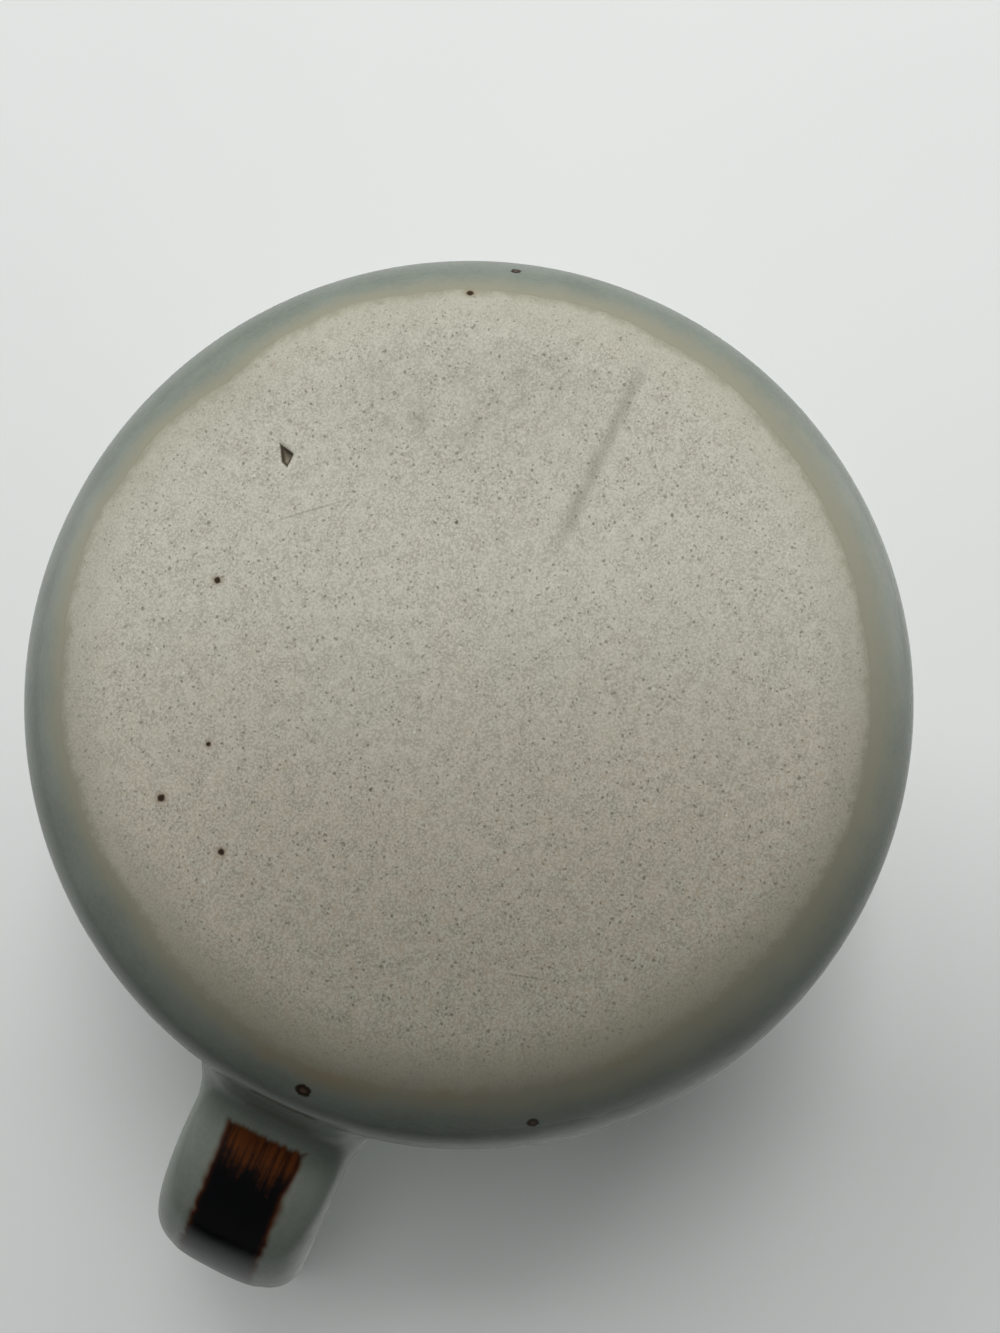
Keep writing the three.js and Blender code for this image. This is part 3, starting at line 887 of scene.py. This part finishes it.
class Shader(Nodes):
    """A material's nodes, with patterns and marks by their place on the mug in millimetres."""

    def __init__(self, name):
        self.material = bpy.data.materials.new(name)
        self.material.use_nodes = True
        super().__init__(self.material.node_tree)
        inputs = {0: self.add("ShaderNodeTexCoord").outputs["Object"], "Scale": 1 / MM}
        self.place = self.add("ShaderNodeVectorMath", inputs, operation="SCALE").outputs[0]

    def tint(self, colour, mask, towards, strength):
        """A colour moved towards another where a mask is, by up to a strength."""
        return self.mix(self.math("MULTIPLY", mask, strength), colour, towards)

    def moved(self, shift):
        """The place on the mug moved alike along each axis, to reach another part of a pattern."""
        inputs = {"Vector": self.place, "Location": (shift, shift, shift)}
        return self.add("ShaderNodeMapping", inputs).outputs[0]

    def noise(self, size, detail=2.0, rough=0.5, shift=0.0, vector=None):
        """Noise from 0 to 1 with lumps of a size in millimetres."""
        place = vector or self.moved(shift)
        inputs = {"Vector": place, "Scale": 1 / size, "Detail": detail, "Roughness": rough}
        return self.add("ShaderNodeTexNoise", inputs).outputs["Fac"]

    def patches(self, size, detail, rough, shift, low, high, start=0.0, end=1.0):
        """Soft patches where the noise rises from one level to another."""
        return self.fit(self.noise(size, detail, rough, shift), low, high, start, end)

    def wave(self, reach, size, detail=2.0, rough=0.5, shift=0.0):
        """Noise either way from zero, by up to half a reach."""
        centred = self.math("SUBTRACT", self.noise(size, detail, rough, shift), 0.5)
        return self.math("MULTIPLY", centred, reach)

    def ragged(self, value, size, reach, shift, detail=4.0):
        """A distance made uneven by noise of a size, by up to about a reach either way."""
        return self.math("ADD", value, self.wave(3 * reach, size, detail, rough=0.65, shift=shift))

    def specks(self, spacing, share, radius, shift, softness=0.35):
        """Uneven specks scattered in the surface: a share of the cells of a spacing, up to a radius."""
        lumps = self.add("ShaderNodeTexNoise", {"Vector": self.place, "Scale": SPECK_LUMPS / radius})
        bend = {0: lumps.outputs["Color"], 1: [SPECK_BEND * radius] * 3, 2: self.moved(shift)}
        bent = self.add("ShaderNodeVectorMath", bend, operation="MULTIPLY_ADD").outputs[0]
        cells = self.add("ShaderNodeTexVoronoi", {"Vector": bent, "Scale": 1 / spacing})
        parts = self.add("ShaderNodeSeparateColor", {0: cells.outputs["Color"]})
        reach = self.fit(parts.outputs[0], 1 - share, 1, 0.0, radius / spacing, "LINEAR")
        depth = self.math("SUBTRACT", reach, cells.outputs["Distance"])
        return self.fit(depth, 0.0, softness * radius / spacing)

    def spot(self, place, radius, softness):
        """Mask of a round mark at a place on the mug, with a slightly uneven edge."""
        node = self.add("ShaderNodeVectorMath", {0: self.place, 1: place}, operation="DISTANCE")
        distance = self.math("ADD", node.outputs["Value"], self.wave(MARK_WAVE * radius, size=0.35))
        return self.fit(distance, radius, radius - softness)

    def along(self, axis):
        """Distance of the surface along a direction, in millimetres."""
        return self.dot(self.place, axis)

    def line(self, start, end, width):
        """Soft mask of a line piece on the base."""
        way = Vector((*end, 0)) - Vector((*start, 0))
        length = way.length
        way.normalize()
        side = Vector((-way.y, way.x, 0))
        off = self.math("SUBTRACT", self.along(side), side.x * start[0] + side.y * start[1])
        run = self.math("SUBTRACT", self.along(way), way.x * start[0] + way.y * start[1])
        wander = self.wave(width, size=2.0, shift=45.0)
        core = self.fit(self.math("ABSOLUTE", self.math("ADD", off, wander)), width, 0.0)
        ends = self.math("MINIMUM", run, self.math("SUBTRACT", length, run))
        return self.math("MULTIPLY", core, self.fit(ends, 0.0, 0.25 * length))

    def inside(self, corners):
        """Distance inside a flat outline on the base; below 0 outside it."""
        depth = None
        for a, b, c in sides_of(corners):
            side = self.math("ADD", self.along((a, b, 0)), c)
            depth = side if depth is None else self.math("MINIMUM", depth, side)
        return depth

    def value(self, name):
        """A number stored on the mesh."""
        return self.add("ShaderNodeAttribute", attribute_name=name).outputs["Fac"]

    def bump(self, height, depth, below=None):
        """Fine relief of a depth in millimetres."""
        inputs = {"Distance": depth * MM, "Height": height}
        if below is not None:
            inputs["Normal"] = below
        return self.add("ShaderNodeBump", inputs).outputs[0]

    def show(self, surface):
        self.add("ShaderNodeOutputMaterial", {"Surface": surface})
        return self.material

    def finish(self, colour, roughness, normal=None):
        """The material, as a surface with a colour, a roughness and a relief."""
        inputs = {"Base Color": colour, "Roughness": roughness}
        if normal is not None:
            inputs["Normal"] = normal
        return self.show(self.add("ShaderNodeBsdfPrincipled", inputs).outputs[0])


def clay_colour(s):
    """Bare stoneware: grey, warmer on one side, blotched and mottled, with iron specks and pale grains."""
    colour = s.mix(s.patches(*BLOTCHES), CLAY_GREY, CLAY_BLOTCH)
    warm = s.fit(s.ragged(s.along(FLAME_AND_SHADE_WAY), *WARM_EDGE), *WARM_RISE)
    colour = s.mix(warm, colour, CLAY_WARM)
    mottled = s.mix(0.7, colour, CLAY_MOTTLE)
    colour = s.mix(s.patches(*MOTTLES), mottled, colour)
    colour = s.tint(colour, s.patches(*GRAINS), CLAY_GRAIN, strength=0.8)
    colour = s.tint(colour, s.specks(*PALE_SPECKS), CLAY_PALE_SPECK, strength=0.5)
    colour = s.tint(colour, s.specks(*FINE_SPECKS), CLAY_FINE_SPECK, strength=0.6)
    peppered = s.patches(*PEPPERING, start=0.2, end=0.55)
    colour = s.tint(colour, s.specks(*MEDIUM_SPECKS), CLAY_MEDIUM_SPECK, strength=peppered)
    return s.tint(colour, s.specks(*DARK_SPECKS), CLAY_DARK_SPECK, strength=0.75)


def tan_colour(s):
    """Thin glaze over clay: olive tan, flashed orange-brown in places on the warm side."""
    flash = s.math("MULTIPLY", s.fit(s.along(FLAME_AND_SHADE_WAY), *FLASH_RISE), s.patches(*FLASHES))
    return s.mix(flash, TAN, FLASHED)


def marked_clay(s):
    """The clay's colour with the smudges, painted shade along the crease, the scratches and the chip."""
    colour = clay_colour(s)
    rubbed = s.patches(*RUBBINGS)
    for *place, radius in SMUDGES:
        smudge = s.math("MULTIPLY", s.spot(place, radius, softness=radius), rubbed)
        colour = s.tint(colour, smudge, CLAY_SMUDGE, strength=0.34)
    # Painted shade along the crease
    colour = s.tint(colour, s.line(*CREASE, width=1.0), PAINTED_CREASE_SHADE, strength=0.36)
    for scratch in SCRATCHES:
        colour = s.tint(colour, s.line(*scratch, width=0.15), CLAY_SCRATCH, strength=0.4)
    hollow = s.inside(CHIP)
    colour = s.mix(s.fit(hollow, *CHIP_RIM_RISE), colour, CHIP_RIM)
    return s.mix(s.fit(hollow, *CHIP_BED_RISE), colour, CHIP_BED)


def clay_material():
    """The clay with its marks, and painted shade next to the glaze, deeper on one side; it takes on the thin
    glaze's colour next to the glaze.
    """
    s = Shader("bare_speckled_clay")
    colour = marked_clay(s)
    bare = s.value("bare")
    # Painted shade next to the glaze's edge, deeper on one side
    side_shading = s.math("MULTIPLY", s.fit(bare, *SIDE_SHADING_FADE), s.fit(s.along(FLAME_AND_SHADE_WAY), *SIDE_SHADING_RISE))
    colour = s.mix(side_shading, colour, CLAY_SIDE_PAINTED_SHADE)
    # Painted shade all round next to the glaze's edge
    colour = s.mix(s.fit(bare, *EDGE_SHADING_FADE), colour, CLAY_EDGE_PAINTED_SHADE)
    edge = s.fit(s.ragged(bare, *CLAY_EDGE), *TAN_FADE)
    colour = s.mix(edge, colour, tan_colour(s))
    for *place, radius in IRON_SPOTS:
        halo = s.spot(place, HALO_RADIUS * radius, HALO_SOFTNESS * radius)
        colour = s.tint(colour, halo, SPOT_HALO, strength=0.35)
        colour = s.mix(s.spot(place, radius, SPOT_SOFTNESS * radius), colour, SPOT_IRON)
    grit = s.noise(size=0.16, detail=3.0, rough=0.65, shift=3.0)
    rub = s.noise(size=1.4, detail=4.0, rough=0.6, shift=9.0)
    normal = s.bump(grit, depth=0.035, below=s.bump(rub, depth=0.05))
    roughness = s.fit(rub, low=0.2, high=0.8, start=0.84, end=0.98, curve="LINEAR")
    return s.finish(colour, roughness, normal)


def slip_material():
    s = Shader("smoothed_slip_clay")
    colour = s.mix(0.35, clay_colour(s), SLIP)
    relief = s.bump(s.noise(size=0.5, detail=4.0), depth=0.04)
    return s.finish(colour, roughness=0.9, normal=relief)


def glaze_colour(s, body, shade):
    """Grey-green glass over stoneware: cloudy, specked with iron, and tan where it is thin."""
    colour = s.mix(s.patches(*CLOUDS), body, shade)
    colour = s.tint(colour, s.patches(*FLECKS), GLAZE_FLECK, strength=0.3)
    thin = s.fit(s.ragged(s.value("cover"), *COVER_EDGE), *THIN_FADE)
    colour = s.mix(thin, colour, tan_colour(s))
    for *place, radius in RINGED_SPOTS:
        colour = s.mix(s.spot(place, radius, RING_SOFTNESS * radius), colour, RING_IRON)
        heart = s.spot(place, HEART_RADIUS * radius, HEART_SOFTNESS * radius)
        colour = s.mix(heart, colour, RING_HEART)
    colour = s.tint(colour, s.specks(*GLAZE_HALOES, softness=1.0), GLAZE_HALO, strength=0.35)
    colour = s.tint(colour, s.specks(*GLAZE_IRONS), GLAZE_IRON, strength=0.8)
    return s.tint(colour, s.specks(*GLAZE_SPECKS), GLAZE_SPECK, strength=0.4)


def glaze_surface(s):
    """Gloss of a fired glaze: nearly smooth, with a faint ripple and duller patches where it is thin."""
    ripple = s.noise(size=2.6, shift=19.0)
    pores = s.noise(size=0.5, detail=1.0, shift=29.0)
    normal = s.bump(ripple, depth=0.008, below=s.bump(pores, depth=0.0008))
    gloss = s.patches(*GLOSS_PATCHES, start=0.13, end=0.2)
    roughness = s.math("ADD", gloss, s.fit(s.value("cover"), *DULL_FADE))
    return roughness, normal


def glaze_material(name, body, shade):
    s = Shader(name)
    colour = glaze_colour(s, body, shade)
    return s.finish(colour, *glaze_surface(s))


# The brush's stroke: its half width, where it narrows and dries, and the rags and streaks of the bristles
STROKE_HALF_WIDTH = 4.5
STROKE_END_HALF_WIDTH = 2.2
STROKE_NARROWS = BRUSH_START + 22.0
STROKE_DRIES = BRUSH_START + 20.0
STROKE_POOLED = BRUSH_START + 8.0
STROKE_START_RAGS = 1.2
STROKE_END_RAGS = 9.0
STREAKS_ALONG = 0.12
STREAKS_ACROSS = 1.6
STREAK_POOLING = 0.6
POOLING_LEVEL = 0.85

# Levels between which the stroke covers, is wet, pools, pools away from its edge and darkens in streaks
COVER_RISE = (0.0, 0.8)
WET_RISE = (0.38, 0.52)
POOL_RISE = (0.1, 0.7)
POOL_EDGE_RISE = (0.2, 1.3)
RUST_RISE = (0.35, 0.65)


def bristle_streaks(s, along, across):
    """Noise drawn out along the stroke."""
    lane = {0: s.math("MULTIPLY", along, STREAKS_ALONG), 1: s.math("MULTIPLY", across, STREAKS_ACROSS)}
    place = s.add("ShaderNodeCombineXYZ", lane).outputs[0]
    return s.noise(size=1.0, detail=3.0, rough=0.65, vector=place)


def stroke_depth(s, along, across, streak):
    """Distance inside the stroke's own ragged outline; below 0 outside it."""
    tail = s.fit(along, STROKE_NARROWS, BRUSH_END, STROKE_HALF_WIDTH, STROKE_END_HALF_WIDTH)
    half = s.ragged(tail, *STROKE_EDGE, detail=1.0)
    sides = s.math("SUBTRACT", half, s.math("ABSOLUTE", across))
    from_start = s.math("SUBTRACT", along, BRUSH_START)
    from_end = s.math("SUBTRACT", BRUSH_END, along)
    start = s.math("SUBTRACT", from_start, s.math("MULTIPLY", streak, STROKE_START_RAGS))
    end = s.math("SUBTRACT", from_end, s.math("MULTIPLY", streak, STROKE_END_RAGS))
    return s.math("MINIMUM", sides, s.math("MINIMUM", start, end))


def brush_material():
    """Iron pigment streaked by the bristles: rust where it is thin, blue-black where it is thick."""
    s = Shader("brushed_iron_pigment")
    along, across = s.value("along"), s.value("across")
    streak = bristle_streaks(s, along, across)
    inside = stroke_depth(s, along, across, streak)
    wet = s.math("ADD", streak, s.fit(along, STROKE_DRIES, BRUSH_END, start=0.3, end=-0.15))
    mask = s.math("MULTIPLY", s.fit(inside, *COVER_RISE), s.fit(wet, *WET_RISE))
    lumps = s.noise(size=2.4, detail=3.0, rough=0.6, shift=91.0)
    pooled = s.math("ADD", s.math("MULTIPLY", streak, STREAK_POOLING), lumps)
    pooled = s.math("SUBTRACT", pooled, POOLING_LEVEL)
    thick = s.math("ADD", s.fit(along, BRUSH_START, STROKE_POOLED), pooled)
    thick = s.math("MULTIPLY", s.fit(thick, *POOL_RISE), s.fit(inside, *POOL_EDGE_RISE))
    rust = s.mix(s.fit(streak, *RUST_RISE), RUST_PALE, RUST_DARK)
    pigment = s.mix(thick, rust, BLUE_BLACK)
    colour = s.mix(mask, glaze_colour(s, GREY_BODY, GREY_SHADE), pigment)
    return s.finish(colour, *glaze_surface(s))


# Camera; from here on places and sizes are in metres

CAMERA_PLACE = Vector((0.18, -6.34, -85.15)) * MM
CAMERA_TURN = math.radians(-114.41)
CAMERA_TILT = math.radians(-3.3)
CAMERA_ROLL = math.radians(1.49)
FOCAL_PIXELS = 1003.0
IMAGE_HEIGHT = 1333.0
SENSOR = 36.0
NEAR_CLIP = 0.002
FAR_CLIP = 20.0

photo_axes = (
    Matrix.Rotation(CAMERA_TILT, 3, "X")
    @ Matrix.Rotation(CAMERA_ROLL, 3, "Y")
    @ Matrix.Rotation(-CAMERA_TURN, 3, "Z")
)
right, down, forward = (Vector(row) for row in photo_axes)


def make_camera():
    data = bpy.data.cameras.new("camera")
    data.sensor_width = SENSOR
    data.lens = FOCAL_PIXELS * SENSOR / IMAGE_HEIGHT
    data.clip_start = NEAR_CLIP
    data.clip_end = FAR_CLIP
    camera = bpy.data.objects.new("camera", data)
    bpy.context.scene.collection.objects.link(camera)
    turn = Matrix((right, -down, -forward)).transposed()
    camera.matrix_world = Matrix.Translation(CAMERA_PLACE) @ turn.to_4x4()
    bpy.context.scene.camera = camera


def in_photo(right_by, up_by, back_by):
    """A shift along the photograph's own axes."""
    return right * right_by - down * up_by - forward * back_by


# Stage; the sheets fade between two distances from the mug in millimetres

BACKGROUND = linear(224, 227, 226)
PANEL = linear(232, 235, 234)
FLOOR_COLOUR = linear(222, 224, 222)
CARD_DARK = linear(38, 38, 40)
CARD_PALE = linear(52, 52, 54)
BLACK = (0, 0, 0, 1)
SHEET_SHADE = 0.97
# Painted reflection: how dark the sheets are made where glossy rays see them, between two distances
SHEET_REFLECTION_DIMMING = (70.0, 260.0, 0.42, 1.0)
FLOOR_HEIGHT = -0.0005
FLOOR_HALF = (4, 4)
FLOOR_FADE = (250, 900)
PANEL_HEIGHT = BOW_HEIGHT * MM
PANEL_HALF = (0.5, 0.5)
CARD_SHIFT = (0.0125, 0.021, 0.003)
CARD_HALF = (0.054, 0.021)


def stage_plane(name, centre, axis_a, axis_b, half_sizes, material):
    """A flat sheet that isn't part of the mug; its front is where axis_a turned to axis_b points."""
    centre = Vector(centre)
    a = Vector(axis_a) * half_sizes[0]
    b = Vector(axis_b) * half_sizes[1]
    mesh = bpy.data.meshes.new(name)
    mesh.from_pydata([centre - a - b, centre + a - b, centre + a + b, centre - a + b], [], [(0, 1, 2, 3)])
    mesh.materials.append(material)
    obj = bpy.data.objects.new(name, mesh)
    bpy.context.scene.collection.objects.link(obj)
    return obj


def one_sided(name, colour, fade=None):
    """Pale matt sheet that shows only from its front, with painted darkening where it is seen in the gloss,
    and can fade out far away.
    """
    s = Shader(name)
    shade = [SHEET_SHADE * c for c in colour[:3]] + [1]
    tone = s.mix(s.patches(*SHEET_PATCHES, end=0.5), colour, shade)
    distance = s.add("ShaderNodeVectorMath", {0: s.place}, operation="LENGTH").outputs["Value"]
    in_gloss = s.add("ShaderNodeLightPath").outputs["Is Glossy Ray"]
    # Painted reflection: darker where glossy rays see it, part way near the mug and black far off
    tone = s.tint(tone, in_gloss, BLACK, strength=s.fit(distance, *SHEET_REFLECTION_DIMMING))
    shown = s.plain("ShaderNodeBsdfDiffuse", tone)
    if fade is not None:
        shown = s.either(s.fit(distance, *fade), shown, s.plain("ShaderNodeEmission", BACKGROUND))
    from_behind = s.add("ShaderNodeNewGeometry").outputs["Backfacing"]
    clear = s.add("ShaderNodeBsdfTransparent").outputs[0]
    return s.show(s.either(from_behind, shown, clear))


def card_material():
    s = Shader("dark_card")
    return s.finish(s.mix(s.noise(size=4.0), CARD_DARK, CARD_PALE), roughness=0.7)


def make_stage():
    """A pale floor for the upright mug, a pale panel behind it seen from below, and a dark card."""
    floor_sheet = one_sided("floor", FLOOR_COLOUR, FLOOR_FADE)
    floor = stage_plane("floor", (0, 0, FLOOR_HEIGHT), (1, 0, 0), (0, 1, 0), FLOOR_HALF, floor_sheet)
    panel_sheet = one_sided("panel", PANEL)
    panel = stage_plane("panel", (0, 0, PANEL_HEIGHT), (0, 1, 0), (1, 0, 0), PANEL_HALF, panel_sheet)
    for sheet in (floor, panel):
        sheet.visible_diffuse = False
        sheet.visible_shadow = False
        sheet.visible_transmission = False
    floor.visible_glossy = False
    card_place = CAMERA_PLACE + in_photo(*CARD_SHIFT)
    card = stage_plane("card", card_place, right, down, CARD_HALF, card_material())
    card.visible_camera = False


# Light: the room's levels, then the lamps by place, size and watts

ROOM_DARK = (0.026, 0.026, 0.026, 1)
ROOM_BRIGHT = (0.30, 0.305, 0.30, 1)
ROOM_ABOVE = (0.36, 0.365, 0.37, 1)
ROOM_BRIGHT_RISE = (-0.7, 0.46)
ROOM_ABOVE_RISE = (0.05, 0.75)
KEY_SHIFT = (0.041, 0.521, 0.712)
KEY_SIZE = (0.476, 0.476)
KEY_WATTS = 7.15
KEY_COLOUR = (1.0, 0.995, 0.985)
MUG_MIDDLE = (0.015, 0, 0.05)
SOFTBOXES = (
    ("softbox_front", (0.65, -0.54, 0.71), (0.6, 0.6), 7.5),
    ("softbox_left", (-0.67, -0.67, 0.57), (0.6, 0.6), 5.5),
    ("softbox_back", (0.12, 1.0, 0.42), (0.6, 0.4), 4.5),
)


def make_world():
    """Pale to the camera; as a light, a dim room below and a brighter one above."""
    world = bpy.data.worlds.new("room")
    bpy.context.scene.world = world
    world.use_nodes = True
    n = Nodes(world.node_tree)
    direction = n.add("ShaderNodeTexCoord").outputs["Generated"]
    below = n.mix(n.fit(n.dot(direction, -down), *ROOM_BRIGHT_RISE), ROOM_DARK, ROOM_BRIGHT)
    room = n.mix(n.fit(n.dot(direction, (0, 0, 1)), *ROOM_ABOVE_RISE), below, ROOM_ABOVE)
    light = n.plain("ShaderNodeBackground", room)
    seen = n.plain("ShaderNodeBackground", BACKGROUND)
    to_camera = n.add("ShaderNodeLightPath").outputs["Is Camera Ray"]
    n.add("ShaderNodeOutputWorld", {"Surface": n.either(to_camera, light, seen)})


def area_lamp(name, place, target, size, watts, colour=(1, 1, 1)):
    data = bpy.data.lights.new(name, "AREA")
    data.shape = "RECTANGLE"
    data.size, data.size_y = size
    data.energy = watts
    data.color = colour
    lamp = bpy.data.objects.new(name, data)
    lamp.location = place
    aim = Vector(target) - Vector(place)
    lamp.rotation_mode = "QUATERNION"
    lamp.rotation_quaternion = aim.to_track_quat("-Z", "Y")
    bpy.context.scene.collection.objects.link(lamp)
    return lamp


def make_lamps():
    """A soft key for the underside, from the photograph's upper edge, and soft boxes for the upright mug."""
    key = area_lamp("key_below", in_photo(*KEY_SHIFT), (0, 0, 0), KEY_SIZE, KEY_WATTS, KEY_COLOUR)
    key.visible_glossy = False
    for name, place, size, watts in SOFTBOXES:
        area_lamp(name, place, MUG_MIDDLE, size, watts)


# The mug on its stage

bpy.context.scene.view_settings.view_transform = "Standard"
make_camera()
make_world()
make_lamps()
make_stage()

grey_glaze = glaze_material("grey_green_glaze", GREY_BODY, GREY_SHADE)
pale_glaze = glaze_material("pale_liner_glaze", LINER_BODY, LINER_SHADE)

clay = clay_piece()
clay.data.materials.append(clay_material())
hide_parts("clay_body")

wall = outer_glaze_piece()
wall.data.materials.append(grey_glaze)
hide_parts("outer_glaze")

liner = liner_piece()
liner.data.materials.append(pale_glaze)
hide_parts("liner_glaze")

handle = handle_glaze_piece()
handle.data.materials.append(grey_glaze)
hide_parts("handle_glaze")

brush = brush_piece(handle)
brush.data.materials.append(brush_material())
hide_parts("handle_brush_band")

slip = slip_material()
for name, radius, from_low in (("lower_slip", LOWER_FILLET, True), ("upper_slip", UPPER_FILLET, False)):
    collar = slip_piece(name, radius, from_low)
    collar.data.materials.append(slip)
    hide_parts(f"{name}_joint")

strap_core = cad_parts["handle_strap"].data
strap_core.materials.clear()
strap_core.materials.append(slip)
